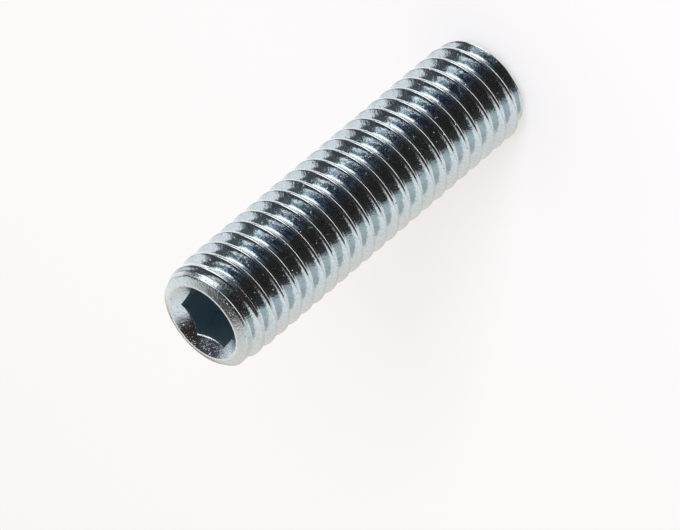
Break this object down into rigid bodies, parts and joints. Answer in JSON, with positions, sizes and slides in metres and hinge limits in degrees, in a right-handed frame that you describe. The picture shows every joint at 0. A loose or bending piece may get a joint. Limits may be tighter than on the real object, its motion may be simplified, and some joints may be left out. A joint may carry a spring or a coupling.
{
  "type": "hexagon socket set screw",
  "caption": "Headless set screw: a right-hand threaded steel rod with a countersunk hexagon socket in one end and a chamfered flat point at the other.",
  "frame": {"origin": "centre of the flat point face, on which the screw stands", "axes": "+Z along the screw's axis, from the point to the socket; +X points at a corner of the hexagon"},
  "size_m": [0.0078, 0.0078, 0.0295],
  "materials": {
    "zinc_plated_steel": "bright zinc plate with a clear, faintly blue passivation"
  },
  "bodies": {
    "root": {"set_screw": "zinc_plated_steel"}
  },
  "joints": []
}
